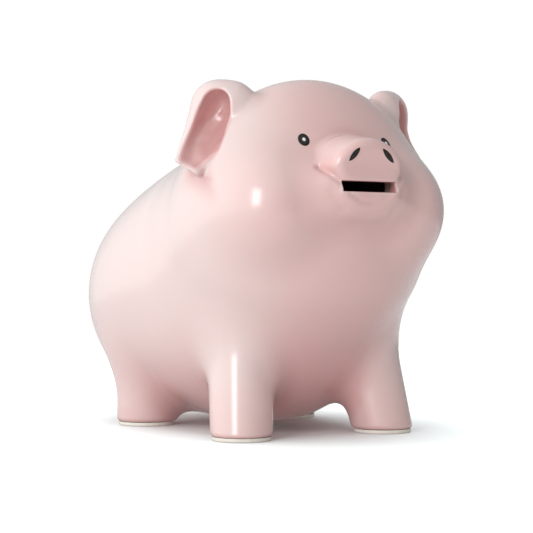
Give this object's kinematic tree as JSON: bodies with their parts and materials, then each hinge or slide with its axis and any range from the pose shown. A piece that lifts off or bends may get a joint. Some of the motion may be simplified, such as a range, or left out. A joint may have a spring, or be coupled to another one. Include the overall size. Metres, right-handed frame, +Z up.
{
  "type": "figural coin bank",
  "caption": "Hollow glazed pottery pig money bank: a slot for a mouth takes the coins, stout legs stand on pads, and a soft plug in the belly pulls out to empty it.",
  "frame": {"origin": "on the ground plane, under the middle of the bounding box", "axes": "+Z up; the pig faces -Y, so +Y runs from snout to rump; +X is the pig's left side"},
  "size_m": [0.1566, 0.2414, 0.1899],
  "materials": {
    "pink_glaze": "high gloss pale pink glaze over white earthenware",
    "pad_rubber": "smooth cream, slightly glossy",
    "stopper_rubber": "satin, off-white",
    "black_enamel": "gloss brush-painted enamel"
  },
  "bodies": {
    "bank": {"ceramic_body": "pink_glaze", "ear_left": "pink_glaze", "ear_right": "pink_glaze", "curly_tail": "pink_glaze", "foot_pad_front_left": "pad_rubber", "foot_pad_front_right": "pad_rubber", "foot_pad_rear_left": "pad_rubber", "foot_pad_rear_right": "pad_rubber", "eye_left": "black_enamel", "eye_right": "black_enamel", "nostril_left": "black_enamel", "nostril_right": "black_enamel"},
    "stopper": {"belly_stopper": "stopper_rubber"}
  },
  "joints": [
    {"name": "stopper_pull", "type": "slide", "parent": "bank", "child": "stopper", "axis": [0, 0, -1], "range_m": [0, 0.04]}
  ]
}
